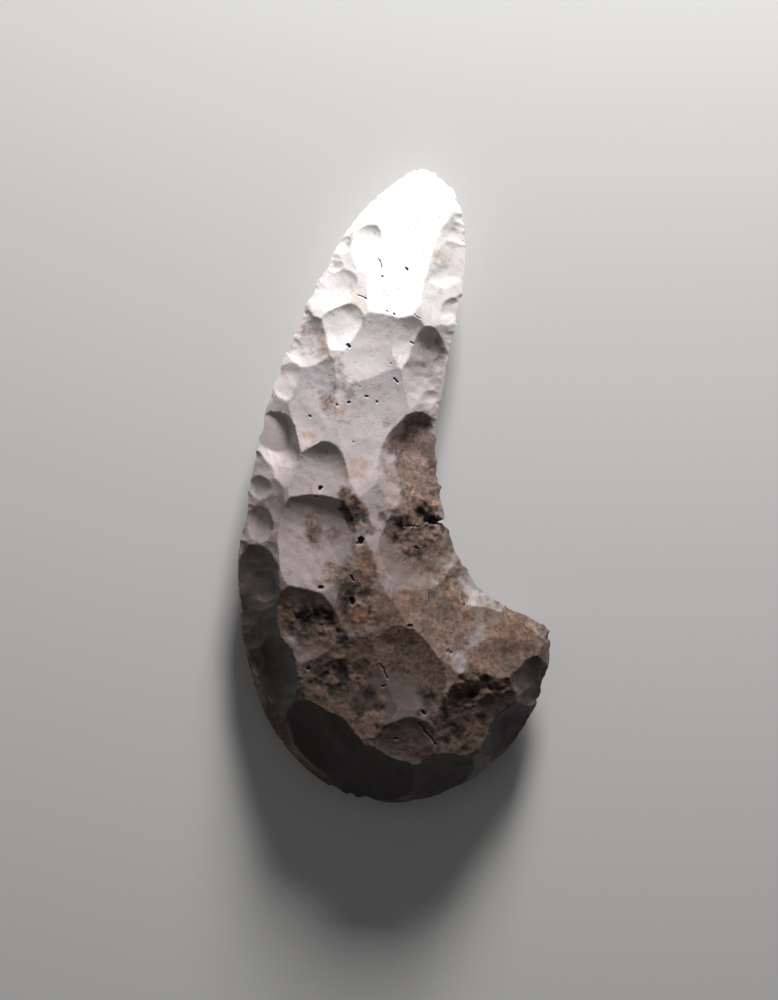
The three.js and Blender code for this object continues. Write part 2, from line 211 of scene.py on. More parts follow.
FIELD_MARGIN = 4
FIELD_STEP = 0.5
FIELD_END = 1.001  # steps from the end of the field to the last place it is read
FRONT_STEP = 0.45
BACK_STEP = 0.95
RIM_STEP = 0.4
RIM_SEARCH = 2.5  # how far in and out the rim may lie from the outline
RIM_TRIALS = 126
RIM_SMOOTHING = 4  # steps either way that give the outline's direction
RIM_CLEARANCE = 0.45  # least gap between points at the rim, as a part of a step
ROW_PITCH = math.sqrt(3) / 2  # between rows of a triangular grid, as a part of a step
PROBE = 0.03  # for measuring slopes
SNAP = 0.35  # a point this near a ridge is moved onto it, as a part of a step
LEAST_SLOPE = 0.02  # of the margin beside a ridge, for the ridge to count
TINY = 1e-6  # keeps a slope of zero from being divided by
MERGE_WITHIN = 1e-7
INSIDE_ONLY = 1  # tells the triangulator to keep only what is inside the rim

# ---- colour, linear ----

# The patina from the tip to the butt, partly the stone's own and partly painted light falloff, brightest at
# the tip and darkest at the butt: y in mm, and the colour there.
PATINA_AND_LIGHT_FALLOFF = [
    (100, (0.95, 0.91, 0.89)), (60, (0.92, 0.86, 0.84)), (35, (0.64, 0.57, 0.58)), (12, (0.49, 0.42, 0.42)),
    (-12, (0.275, 0.215, 0.205)), (-35, (0.118, 0.084, 0.072)), (-70, (0.09, 0.064, 0.055)),
    (-100, (0.07, 0.058, 0.052)),
]
PATINA_WANDER = 6
PATINA_WANDER_CELL = 25
# Each kind of surface: a colour, and how far it shows over the patina. The darkest kind, on the bevels at the
# butt and the lower edges, is painted shade: near black where these bevels face away from the light.
SURFACES = {
    PALE: ((0.88, 0.82, 0.82), 0.25), GREY: ((0.40, 0.355, 0.38), 0.2),
    WARM: ((0.24, 0.165, 0.125), 0.15), BROWN: ((0.13, 0.085, 0.07), 0.15),
    CRUST: ((0.09, 0.06, 0.048), 0.15), PAINTED_DARK_SHADE: ((0.032, 0.029, 0.027), 0.7),
}
SCAR_TINT = 0.04  # how far each scar's own shade may be from the patina's
TINT_SEED = 5
MOTTLE = 0.06
MOTTLE_CELL = 11
# Ridges are paler, in broken lines, and not at the butt: partly wear and partly a painted highlight along the
# ridges.
RIDGE_WEAR_AND_HIGHLIGHT_COLOUR = (0.70, 0.62, 0.60)
RIDGE_WEAR_AND_HIGHLIGHT = 0.14
RIDGE_WIDTH = 0.16  # mm from the surface up to the next scar, where the wear and painted highlight fade
RIDGE_WHOLE = 0.5  # higher leaves fewer breaks in the wear and painted highlight
RIDGE_CELL = 3
RIDGE_FADE = 60  # from the middle down to where the wear and painted highlight have gone
# Pits and slots are painted near black inside, as painted shade.
PIT_PAINTED_SHADE = (0.05, 0.033, 0.028)
LIP_PAINTED_HIGHLIGHT = 0.3  # how much lighter the painted highlight on a pit's lower lip is
HIGHLIGHT_CLEAR = 0.5  # how far the painted highlight is clear of crust and ochre
# Ochre stains: x, y, radius, strength.
STAINS = [
    (-8, 69, 3, 0.45), (9, 57.5, 4, 0.45), (19.5, 70, 5, 0.5), (14.5, 72, 3, 0.4), (20, 86, 5, 0.4),
    (-12, 58, 4, 0.45), (-22, 44, 5, 0.45), (-5, 45, 6, 0.4), (3, 38, 5, 0.4), (4, 30, 5, 0.5),
    (-17, 24, 5, 0.45), (-27, 16, 6, 0.5), (-25, 4, 5, 0.45), (-12.5, 6, 6, 0.6), (-9, -23, 8, 0.75),
    (-12, -40, 9, 0.9), (-20, -71, 6, 0.5), (12, -66, 6, 0.7), (20, -38, 9, 0.5), (37, -45, 9, 0.5),
    (2, -35, 9, 0.5), (12, 28, 5, 0.4), (10, -5, 9, 0.4), (-14, -4, 5, 0.5),
]
STAIN_FALL = 1.0
HOLLOW_SHADE_REACH = 2.5  # higher lets the painted shade in the crust's hollows reach smoother crust

# ---- the flint's shader ----

# Noise textures: the size of their bumps in mm, and their detail.
FINE_NOISE = (0.6, 5)
MIDDLE_NOISE = (2.4, 9)
BROAD_NOISE = (8, 4)
CRUST_NOISE = (5, 12)
GRIT_NOISE = (1.1, 7)
GRAIN_NOISE = (1.6, 3)
OCHRE_NOISE = (2.2, 9)
NOISE_ROUGHNESS = 0.62
SPECK_SPACING = 1.5  # mm

# Shades, each as the texture's value at either end and the brightness it gives there.
FINE_SHADES = (0.3, 0.7, 0.93, 1.05)
MIDDLE_SHADES = (0.3, 0.7, 0.92, 1.07)
CRUST_SHADES = (0.38, 0.6, 0.3, 0.98)
CLOUD_SHADES = (0.38, 0.6, 0.7, 1.4)
GRAIN_SHADES = (0.53, 0.62, 1, 0.42)
# Painted shade in the crust's hollows: how dark it gets.
PAINTED_HOLLOW_SHADES = (0.1, 0.9, 1, 0.15)
# The same for how far specks cover: from a speck's middle outward, and over each cloud.
SPECK_DOTS = (0.1, 0.17, 0.75, 0)
SPECK_CLOUDS = (0.42, 0.6, 0, 1)

# A ragged mask is a share of the painted amount with noise added. It is whole where they come to its FULL,
# and gone at COVER_RIM below that. SHOW is how far crust or ochre hides what is under it at most.
AMOUNT_SHARE = 0.5
COVER_RIM = 0.22
CRUST_FULL = 0.8
OCHRE_FULL = 0.92
CRUST_SHOW = 0.9
OCHRE_SHOW = 0.85

# Crust is part tinted patina, painted falloff and all, and part a brown of its own.
CRUST_TINT = (1.0, 0.77, 0.63)
CRUST_COLOUR = (0.162, 0.098, 0.066)
CRUST_OWN = 0.5
OCHRE_TINT = (1.0, 0.72, 0.46)
SPECK_COLOUR = (0.10, 0.055, 0.035)
FLINT_ROUGH = 0.55
CRUST_ROUGH = 0.9
FINE_BUMP = 0.3  # against 1 for the crust's grit
BUMP_STRENGTH = 0.5
BUMP_DEPTH = 0.4  # mm
SHARP_ANGLE = 50

# ---- studio: metres and degrees ----

FLOOR_SIZE = 6
FLOOR_COLOUR = (0.62, 0.61, 0.60)
FLOOR_ROUGH = 0.9
# Azimuth 0 is over the tip, and 90 over the hollow side. Size is the light's width, and power is in watts.
KEY_LIGHT = {"azimuth": 9, "elevation": 21, "distance": 0.85, "size": 0.22, "power": 13.5}
FILL_LIGHT = {"azimuth": -40, "elevation": 72, "distance": 1.2, "size": 1.0, "power": 0.6}
WORLD_STRENGTH = 0.075
LENS = 85  # mm, as is SENSOR
SENSOR = 36
CAMERA_DISTANCE = 0.745
CAMERA_TILT = 6  # towards the tip
AIM_X = -1.7  # mm from the middle of the CAD node's box, as is AIM_Y
AIM_Y = -3.1


# ---- noise ----

def value_noise(x, y, cell, seed):
    """Smooth noise from -1 to 1, with bumps about one cell across."""
    size = 64
    grid = np.random.default_rng(seed).uniform(-1, 1, (size, size))
    column, row = np.floor(x / cell).astype(int), np.floor(y / cell).astype(int)
    across, up = x / cell - column, y / cell - row
    across, up = across**2 * (3 - 2 * across), up**2 * (3 - 2 * up)

    def corner(i, j):
        return grid[(column + i) % size, (row + j) % size]

    low = corner(0, 0) * (1 - across) + corner(1, 0) * across
    high = corner(0, 1) * (1 - across) + corner(1, 1) * across
    return low * (1 - up) + high * up


def fractal_noise(x, y, cell, octaves, seed):
    """Value noise with finer and weaker copies added."""
    total = np.zeros_like(x)
    for octave in range(octaves):
        total += value_noise(x, y, cell / 2**octave, seed + octave) / 2**octave
    return total


# ---- outline ----

def spline(points):
    """Centripetal Catmull-Rom curve through the points, without its last point."""
    knots = np.array(points, float)
    knots = np.vstack([2 * knots[0] - knots[1], knots, 2 * knots[-1] - knots[-2]])
    s = np.arange(EDGE_STEPS)[:, None] / EDGE_STEPS
    curve = []
    for before, start, end, after in zip(knots, knots[1:], knots[2:], knots[3:]):
        d0, d1, d2 = (np.linalg.norm(b - a) ** 0.5 for a, b in ((before, start), (start, end), (end, after)))
        leave = ((start - before) / d0 - (end - before) / (d0 + d1) + (end - start) / d1) * d1
        arrive = ((end - start) / d1 - (after - start) / (d1 + d2) + (after - end) / d2) * d1
        curve.append(
            (2 * s**3 - 3 * s**2 + 1) * start + (s**3 - 2 * s**2 + s) * leave
            + (3 * s**2 - 2 * s**3) * end + (s**3 - s**2) * arrive
        )
    return np.vstack(curve)


OUTLINE = np.vstack([spline(HOLLOW_EDGE), spline(ROUND_EDGE)])


def nearest_edge(x, y):
    """Distance to the outline, positive inside the stone, and the nearest point on it."""
    best = np.full(x.shape, np.inf)
    near_x, near_y = np.zeros_like(x), np.zeros_like(y)
    inside = np.zeros(x.shape, bool)
    for (ax, ay), (bx, by) in zip(OUTLINE, np.roll(OUTLINE, -1, axis=0)):
        dx, dy = bx - ax, by - ay
        along = np.clip(((x - ax) * dx + (y - ay) * dy) / (dx * dx + dy * dy), 0, 1)
        px, py = ax + along * dx, ay + along * dy
        distance = np.hypot(x - px, y - py)
        closer = distance < best
        best = np.where(closer, distance, best)
        near_x, near_y = np.where(closer, px, near_x), np.where(closer, py, near_y)
        if ay != by:
            inside ^= ((y < ay) != (y < by)) & (x < ax + (y - ay) / (by - ay) * dx)
    return np.where(inside, best, -best), near_x, near_y


# ---- the two faces, as heights away from the edge plane ----

class Face:
    """One face of the stone: an unflaked blank, and the scars struck on it in order."""

    def __init__(self, side, butt, tip, crown):
        self.side, self.butt, self.tip, self.crown = side, butt, tip, crown
        self.scars = []

    def blank(self, x, y, distance):
        t = np.clip((TIP_Y - y) / TAPER_LENGTH, 0, 1)
        full = self.tip + (self.butt - self.tip) * (t * t * (3 - 2 * t) + t) / 2
        out = np.clip(1 - distance / BEVEL, 0, None)
        slope = np.where(out <= 1, 1 - out**BEVEL_POWER, BEVEL_POWER * (1 - out))
        off = np.hypot(x - CROWN_AT[0], y - CROWN_AT[1]) / CROWN_RADIUS
        return full * slope + self.crown * np.clip(1 - off * off, 0, None)

    def lowest(self, x, y, distance):
        """The surface's height, the scar that owns it (-1 for the blank), and how far the next lies above."""
        height = self.blank(x, y, distance)
        owner = np.full(x.shape, -1)
        margin = np.full(x.shape, np.inf)
        for number, scar in enumerate(self.scars):
            reached = scar.reaches(x, y)
            bowl = scar.height(x[reached], y[reached])
            above = height[reached]
            wins = bowl < above
            margin[reached] = np.where(wins, above - bowl, np.minimum(margin[reached], bowl - above))
            if scar.surface != SAME:
                owner[reached] = np.where(wins, number, owner[reached])
            height[reached] = np.minimum(bowl, above)
        return height, owner, margin

    def strike(self, power, x, y, long, wide, turn, deep, lean, surface):
        scar = Scar(power, x, y, long, wide, turn, deep, lean, surface)
        angle = np.linspace(0, 2 * math.pi, FIT_POINTS, endpoint=False)
        px, py = scar.from_local(FIT_RADIUS * np.cos(angle), FIT_RADIUS * np.sin(angle))
        distance, edge_x, edge_y = nearest_edge(px, py)
        outside = distance <= -EDGE_DROP
        px, py = np.where(outside, edge_x, px), np.where(outside, edge_y, py)
        surface_height = self.lowest(px, py, np.maximum(distance, 0))[0]
        u, v = scar.to_local(px, py)
        target = np.where(outside, EDGE_DROP + scar.cup(u, v), surface_height)
        scar.fit_plane(px, py, target, np.where(outside, EDGE_WEIGHT, 1))
        scar.lift_to_edge()
        self.scars.append(scar)


class Scar:
    """A shallow bowl with an elliptical rim, below a plane fitted to the surface it was struck on."""

    def __init__(self, power, x, y, long, wide, turn, deep, lean, surface):
        self.power, self.x, self.y, self.long, self.wide = power, x, y, long, wide
        self.deep, self.lean, self.surface = deep, lean, surface
        self.cos, self.sin = math.cos(math.radians(turn)), math.sin(math.radians(turn))
        self.level, self.slope_x, self.slope_y = 0, 0, 0

    def to_local(self, x, y):
        dx, dy = x - self.x, y - self.y
        return (dx * self.cos + dy * self.sin) / self.long, (dy * self.cos - dx * self.sin) / self.wide

    def from_local(self, u, v):
        along, across = u * self.long, v * self.wide
        return self.x + along * self.cos - across * self.sin, self.y + along * self.sin + across * self.cos

    def cup(self, u, v):
        return self.deep * (1 - np.hypot(u, v) ** self.power) * (1 + self.lean * np.clip(u, -1, 1))

    def fit_plane(self, x, y, target, weight):
        rows = np.stack([np.ones_like(x), x - self.x, y - self.y], axis=1) * weight[:, None]
        self.level, self.slope_x, self.slope_y = np.linalg.lstsq(rows, target * weight, rcond=None)[0]

    def lift_to_edge(self):
        """Raises the scar if need be, so that it doesn't eat far into the outline."""
        u, v = self.to_local(OUTLINE[:, 0], OUTLINE[:, 1])
        crossed = OUTLINE[u * u + v * v < 1]
        cuts = self.height(crossed[:, 0], crossed[:, 1])
        self.level += DEEPEST_EDGE_CUT - min([DEEPEST_EDGE_CUT, *cuts])

    def reaches(self, x, y):
        u, v = self.to_local(x, y)
        return u * u + v * v < REACH**2

    def height(self, x, y):
        u, v = self.to_local(x, y)
        plane = self.level + self.slope_x * (x - self.x) + self.slope_y * (y - self.y)
        blow_at = BLOW_AT if self.lean > 0 else -BLOW_AT
        from_blow = np.hypot(u - blow_at, v)
        ripple = RIPPLE * self.deep * np.sin(2 * math.pi * RIPPLES_PER_SCAR * from_blow)
        return plane - self.cup(u, v) + ripple


def ring_scale(edge):
    """Scars get smaller towards the tip and the horn, where the stone is narrow."""
    from_horn = np.linalg.norm(edge - HOLLOW_EDGE[-1])
    reach = min(1, (TIP_Y - edge[1]) / TIP_ZONE, from_horn / HORN_ZONE)
    return POINT_SCALE + (1 - POINT_SCALE) * max(0, reach)


def inward_at(at):
    """Unit vector into the stone from a numbered point of the outline, and the way it points in degrees."""
    along = OUTLINE[(at + 1) % len(OUTLINE)] - OUTLINE[at]
    inward = np.array([along[1], -along[0]]) / np.linalg.norm(along)
    return inward, math.degrees(math.atan2(inward[1], inward[0]))


def ring_of_scars(count, inset, long, wide, deep, surface):
    """Scars spaced round the outline and pointing inward, no two neighbours alike."""
    ring = []
    for i in range(count):
        vary = [1 + SPREAD * ((i * GOLDEN * step) % 1 - 0.5) for step in (1, 2, 3)]
        at = round(i / count * len(OUTLINE)) % len(OUTLINE)
        inward, turn = inward_at(at)
        size = ring_scale(OUTLINE[at])
        x, y = OUTLINE[at] + inward * size * inset * vary[0]
        sizes = (size * long * vary[0], size * wide * vary[1], turn, size * deep * vary[2])
        ring.append((x, y, *sizes, 0, surface))
    return ring


def edge_chips(chance, count, inset, long, wide, deep):
    """Small chips scattered along the outline."""
    places = chance.integers(0, len(OUTLINE), count)
    scales = chance.uniform(*CHIP_SIZES, count)
    skews = chance.uniform(-CHIP_SKEW, CHIP_SKEW, count)
    chips = []
    for at, size, skew in zip(places, scales, skews):
        inward, turn = inward_at(at)
        x, y = OUTLINE[at] + inward * inset * size
        chips.append((x, y, long * size, wide * size, turn + skew, deep * size, 0, SAME))
    return chips


class EdgeField:
    """Distance to the outline, worked out once on a grid and read between its points."""

    def __init__(self):
        self.low = OUTLINE.min(axis=0) - FIELD_MARGIN
        columns, rows = np.ceil((OUTLINE.max(axis=0) + FIELD_MARGIN - self.low) / FIELD_STEP).astype(int) + 1
        x, y = np.meshgrid(np.arange(columns), np.arange(rows), indexing="ij")
        self.values = nearest_edge(self.low[0] + x * FIELD_STEP, self.low[1] + y * FIELD_STEP)[0]

    def distance(self, x, y):
        column = np.clip((x - self.low[0]) / FIELD_STEP, 0, self.values.shape[0] - FIELD_END)
        row = np.clip((y - self.low[1]) / FIELD_STEP, 0, self.values.shape[1] - FIELD_END)
        i, j = column.astype(int), row.astype(int)
        across, up = column - i, row - j
        low = self.values[i, j] * (1 - across) + self.values[i + 1, j] * across
        high = self.values[i, j + 1] * (1 - across) + self.values[i + 1, j + 1] * across
        return low * (1 - up) + high * up


def warp(x, y):
    """Shifts points a little, so that rims and ridges wander as they do in flaked flint, most at the butt."""
    shift = WARP * (1 + WARP_LOW * np.clip(-y / WARP_FADE, 0, 1))
    across = shift * fractal_noise(x, y, WARP_CELL, 3, seed=11)
    up = shift * fractal_noise(x, y, WARP_CELL, 3, seed=29)
    return x + across, y + up


def smooth(t):
    return t * t * (3 - 2 * t)


def patch_mask(x, y, patch, fall, seed):
    """1 well inside a patch (x, y, half length, half width, turn), falling to 0 over a ragged rim."""
    centre_x, centre_y, long, wide, turn = patch
    cos, sin = math.cos(math.radians(turn)), math.sin(math.radians(turn))
    dx, dy = x - centre_x, y - centre_y
    radius = np.hypot((dx * cos + dy * sin) / long, (dy * cos - dx * sin) / wide)
    radius += PATCH_RAGGED * fractal_noise(x, y, PATCH_CELL, 4, seed)
    return smooth(np.clip((PATCH_RIM - radius) / fall, 0, 1))


def crust_at(x, y):
    """How far crust covers each point, and how rough it is there."""
    broken = np.clip(CRUST_WHOLE + fractal_noise(x, y, CRUST_BREAKS, 3, seed=39), 0, 1)
    cover = CRUST_BASE * np.clip((CRUST_FROM - y) / CRUST_FADE, 0, 1) * broken
    relief = np.zeros_like(x)
    for number, (*patch, covered, rough) in enumerate(CRUST_PATCHES):
        mask = patch_mask(x, y, patch, CRUST_FALL, seed=40 + number)
        cover = np.maximum(cover, covered * mask)
        relief = np.maximum(relief, rough * mask)
    return cover, relief


def ochre_at(x, y):
    """How strongly ochre stains each point."""
    amount = np.zeros_like(x)
    for number, (centre_x, centre_y, radius, strength) in enumerate(STAINS):
        mask = patch_mask(x, y, (centre_x, centre_y, radius, radius, 0), STAIN_FALL, seed=120 + number)
        amount = np.maximum(amount, strength * mask)
    return amount


def pit_distance(x, y, pit):
    """Distance to a pit's wandering middle line, in its radii."""
    centre_x, centre_y, radius, length, turn = pit
    cos, sin = math.cos(math.radians(turn)), math.sin(math.radians(turn))
    dx = x - centre_x + PIT_WANDER * fractal_noise(x, y, PIT_WANDER_CELL, 2, seed=97)
    dy = y - centre_y + PIT_WANDER * fractal_noise(x, y, PIT_WANDER_CELL, 2, seed=99)
    along = np.abs(dx * cos + dy * sin)
    return np.hypot(along - np.minimum(along, length / 2), dy * cos - dx * sin) / radius


def pit_shape(x, y):
    """Depth of the pits and slots at each point, and 0 to 1 for how far inside one it is, which sets their
    painted shade.
    """
    depth, shade = np.zeros_like(x), np.zeros_like(x)
    ragged = PIT_RAGGED * fractal_noise(x, y, PIT_RAGGED_CELL, 3, seed=95)
    for pit in PITS:
        inside = np.clip(1 - pit_distance(x, y, pit) + ragged, 0, 1)
        depth = np.maximum(depth, PIT_DEPTH * pit[2] * smooth(inside))
        shade = np.maximum(shade, smooth(np.clip(inside * PIT_SHADE, 0, 1)))
    return depth, shade


def crust_lumps(x, y):
    """Lumps above 0 and pits below it, before they are scaled by how rough the crust is."""
    pitted = np.clip(-value_noise(x, y, CRUST_PIT_CELL, seed=67) - CRUST_PIT_START, 0, 1)
    return fractal_noise(x, y, CRUST_CELL, 4, seed=61) - CRUST_PITTING * pitted


def front_relief(x, y):
    """Fine relief of the front over its scars: grain, crust and pits."""
    crust = crust_at(x, y)[1] * crust_lumps(x, y)
    grain = GRAIN * fractal_noise(x, y, GRAIN_CELL, 3, seed=71)
    return crust + grain - pit_shape(x, y)[0]


def back_relief(x, y):
    return GRAIN * fractal_noise(x, y, GRAIN_CELL, 3, seed=81)


class Stone:
    """Both faces, struck and ready to be measured."""

    def __init__(self):
        self.field = EdgeField()
        self.front = Face(**FRONT)
        self.back = Face(**BACK)
        for power, scars in FRONT_STRIKES:
            for scar in scars:
                self.front.strike(power, *scar)
        for ring in BACK_RINGS:
            for scar in ring_of_scars(*ring):
                self.back.strike(CHIP_POWER, *scar)
        chance = np.random.default_rng(RETOUCH_SEED)
        for face in (self.front, self.back):
            for sizes in RETOUCH:
                for chip in edge_chips(chance, *sizes):
                    face.strike(CHIP_POWER, *chip)

    def surface(self, face, x, y):
        """Height of one face above the edge plane, the scar that owns each point, and its margin."""
        warped_x, warped_y = warp(x, y)
        distance = self.field.distance(x, y)
        height, owner, margin = face.lowest(warped_x, warped_y, distance)
        height = np.maximum(height, THINNEST * (distance - DEEPEST_CHIP))
        if face is self.front:
            return height + front_relief(x, y), owner, margin
        height = np.minimum(height + back_relief(x, y), REST_DEPTH)
        return -height, owner, margin

    def other(self, face):
        return self.back if face is self.front else self.front

    def thickness(self, x, y):
        return self.surface(self.front, x, y)[0] - self.surface(self.back, x, y)[0]


# ---- mesh ----

def rim_points(stone):
    """Points where the two faces meet, spaced evenly round the outline."""
    ends = np.roll(OUTLINE, -1, axis=0)
    travelled = np.concatenate([[0], np.cumsum(np.linalg.norm(ends - OUTLINE, axis=1))])
    stations = np.arange(0, travelled[-1] - RIM_STEP / 2, RIM_STEP)
    closed = np.vstack([OUTLINE, OUTLINE[:1]])
    edge = np.stack([np.interp(stations, travelled, closed[:, axis]) for axis in (0, 1)], axis=1)
    along = np.roll(edge, -RIM_SMOOTHING, axis=0) - np.roll(edge, RIM_SMOOTHING, axis=0)
    inward = np.stack([along[:, 1], -along[:, 0]], axis=1) / np.linalg.norm(along, axis=1)[:, None]
    inset = np.full(len(edge), RIM_SEARCH)
    found = np.zeros(len(edge), bool)
    for step in np.linspace(RIM_SEARCH, -RIM_SEARCH, RIM_TRIALS):
        trial = edge + inward * step
        found |= stone.thickness(trial[:, 0], trial[:, 1]) < 0
        inset = np.where(found, inset, step)
    rim = edge + inward * inset[:, None]
    forward = np.stack([-inward[:, 1], inward[:, 0]], axis=1)
    kept = [rim[0]]
    for point, ahead in zip(rim[1:], forward[1:]):
        if np.dot(point - kept[-1], ahead) > RIM_STEP * RIM_CLEARANCE:
            kept.append(point)
    return np.array(kept)


def grid_points(stone, rim, face, step):
    """A triangular grid inside the rim, with points close to a ridge moved onto it."""
    low, high = rim.min(axis=0), rim.max(axis=0)
    columns, rows = np.arange(low[0], high[0], step), np.arange(low[1], high[1], step * ROW_PITCH)
    x, y = np.meshgrid(columns, rows, indexing="ij")
    x[:, 1::2] += step / 2
    x, y = x.ravel(), y.ravel()
    distance = stone.field.distance(x, y)
    x, y = x[distance > -RIM_SEARCH], y[distance > -RIM_SEARCH]
    x, y = onto_ridges(stone, face, x, y, step)
    if face is stone.front:
        x, y = refine_pits(x, y, step)
    distance = stone.field.distance(x, y)
    keep = distance > RIM_SEARCH
    close = np.flatnonzero(~keep)
    nearest = np.array([np.argmin((rim[:, 0] - x[i]) ** 2 + (rim[:, 1] - y[i]) ** 2) for i in close])
    rim_distance = stone.field.distance(rim[:, 0], rim[:, 1])
    keep[close] = distance[close] > rim_distance[nearest] + step * RIM_CLEARANCE
    return np.stack([x[keep], y[keep]], axis=1)


def refine_pits(x, y, step):
    """Swaps the grid's points round each pit for finer ones."""
    for pit in PITS:
        centre_x, centre_y, radius, length, turn = pit
        edge = 1 + PIT_MARGIN / radius
        apart = pit_distance(x, y, pit) > edge + step / 2 / radius
        x, y = x[apart], y[apart]
        reach = length / 2 + radius + PIT_MARGIN
        columns, rows = np.arange(-reach, reach, PIT_STEP), np.arange(-reach, reach, PIT_STEP * ROW_PITCH)
        across, up = np.meshgrid(columns, rows)
        across[1::2] += PIT_STEP / 2
        across, up = (centre_x + across).ravel(), (centre_y + up).ravel()
        near = pit_distance(across, up, pit) < edge
        x, y = np.append(x, across[near]), np.append(y, up[near])
    return x, y


def onto_ridges(stone, face, x, y, step):
    """Moves points close to a ridge onto it, down the slope of the margin between its two scars."""
    def margin_at(px, py):
        return stone.surface(face, px, py)[2]

    margin = margin_at(x, y)
    near = np.flatnonzero(margin < step)
    px, py = x[near], y[near]
    slope_x = (margin_at(px + PROBE, py) - margin_at(px - PROBE, py)) / (2 * PROBE)
    slope_y = (margin_at(px, py + PROBE) - margin_at(px, py - PROBE)) / (2 * PROBE)
    steepness = np.hypot(slope_x, slope_y) + TINY
    away = margin[near] / steepness
    snaps = (away < SNAP * step) & (steepness > LEAST_SLOPE)
    moved = near[snaps]
    x[moved] -= (away * slope_x / steepness)[snaps]
    y[moved] -= (away * slope_y / steepness)[snaps]
    return x, y


def triangulate(rim, inner):
    """Points and triangles over the rim and what is inside it. The rim's points keep the first places."""
    count = len(rim)
    points = np.vstack([rim, inner])
    edges = [(i, (i + 1) % count) for i in range(count)]
    result = delaunay_2d_cdt([Vector(p) for p in points], edges, [], INSIDE_ONLY, MERGE_WITHIN)
    return np.array([tuple(v) for v in result[0]]), np.array(result[2])


def skin(stone):
    """Both faces over one rim: points in mm, triangles, and what paint gives for each point."""
    rim = rim_points(stone)
    points, triangles, colours = [], [], []
    for face, step in ((stone.front, FRONT_STEP), (stone.back, BACK_STEP)):
        plan, faces = triangulate(rim, grid_points(stone, rim, face, step))
        height, owner, margin = stone.surface(face, plan[:, 0], plan[:, 1])
        first = sum(len(part) for part in points)
        height[: len(rim)] = (height[: len(rim)] + stone.surface(stone.other(face), *rim.T)[0]) / 2
        shown = slice(0, None) if face is stone.front else slice(len(rim), None)
        points.append(np.column_stack([plan, height])[shown])
        colours.append(paint(stone, face, plan[:, 0], plan[:, 1], owner, margin)[shown])
        if face is stone.back:
            faces = np.where(faces < len(rim), faces, faces + first - len(rim))[:, ::-1]
        triangles.append(faces)
    triangles = without_folds(np.vstack(triangles))
    used, places = np.unique(triangles, return_inverse=True)
    return np.vstack(points)[used], places.reshape(-1, 3), np.vstack(colours)[used]


def without_folds(triangles):
    """Drops each pair of triangles on the same three rim points, one from each face, as at a sharp tip."""
    corners = np.sort(triangles, axis=1)
    _, places, counts = np.unique(corners, axis=0, return_inverse=True, return_counts=True)
    return triangles[counts[places.ravel()] == 1]


# ---- colour ----

def mix(colours, other, amount):
    return colours + (np.asarray(other) - colours) * amount[:, None]


def patina_and_falloff_colour(x, y, face, owner):
    """The patina's colour at each point, with its painted light falloff from tip to butt, its surface's kind
    and a little of its scar's own.
    """
    kinds = np.array([scar.surface for scar in face.scars] + [GREY])[owner]
    chance = np.random.default_rng(TINT_SEED)
    tint = chance.uniform(1 - SCAR_TINT, 1 + SCAR_TINT, len(face.scars) + 1)[owner]
    heights, bands = zip(*reversed(PATINA_AND_LIGHT_FALLOFF))
    wandering = y + PATINA_WANDER * fractal_noise(x, y, PATINA_WANDER_CELL, 3, seed=90)
    colours = np.stack([np.interp(wandering, heights, channel) for channel in zip(*bands)], axis=1)
    for kind, (colour, cover) in SURFACES.items():
        colours = mix(colours, colour, cover * (kinds == kind))
    return colours * (tint * (1 + MOTTLE * fractal_noise(x, y, MOTTLE_CELL, 5, seed=91)))[:, None]


def paint(stone, face, x, y, owner, margin):
    """Red, green, blue, crust, ochre and painted shade in the crust's hollows at each point."""
    colours = patina_and_falloff_colour(x, y, face, owner)
    # Paler ridges: partly wear and partly a painted highlight, fading out towards the butt.
    broken = np.clip(RIDGE_WHOLE + fractal_noise(x, y, RIDGE_CELL, 3, seed=150), 0, 1)
    wear_and_highlight = np.exp(-((margin / RIDGE_WIDTH) ** 2)) * broken
    colours = mix(colours, RIDGE_WEAR_AND_HIGHLIGHT_COLOUR, RIDGE_WEAR_AND_HIGHLIGHT * wear_and_highlight * np.clip((y + RIDGE_FADE) / RIDGE_FADE, 0, 1))
    if face is stone.back:
        return np.column_stack([colours, np.zeros((len(x), 3))])
    pit = pit_shape(x, y)[1]
    # A painted highlight on the lower lip of each pit, where its lower wall would catch the light.
    painted_lip_highlight = np.clip(pit_shape(x + PIT_HIGHLIGHT_OFFSET[0], y + PIT_HIGHLIGHT_OFFSET[1])[1] - pit, 0, 1)
    colours = colours * (1 + LIP_PAINTED_HIGHLIGHT * painted_lip_highlight)[:, None]
    # Painted shade inside each pit and slot.
    colours = mix(colours, PIT_PAINTED_SHADE, pit)
    clear = 1 - np.maximum(pit, HIGHLIGHT_CLEAR * painted_lip_highlight)
    bare = np.array([scar.surface == PAINTED_DARK_SHADE for scar in face.scars] + [False])[owner]
    cover, rough = crust_at(x, y)
    # Painted shade in the crust's hollows, strongest where the crust is rough.
    painted_hollow_shade = np.clip(-crust_lumps(x, y), 0, 1) * np.clip(HOLLOW_SHADE_REACH * rough, 0, 1)
    return np.column_stack([colours, cover * clear * ~bare, ochre_at(x, y) * clear, painted_hollow_shade])


# ---- Blender objects ----

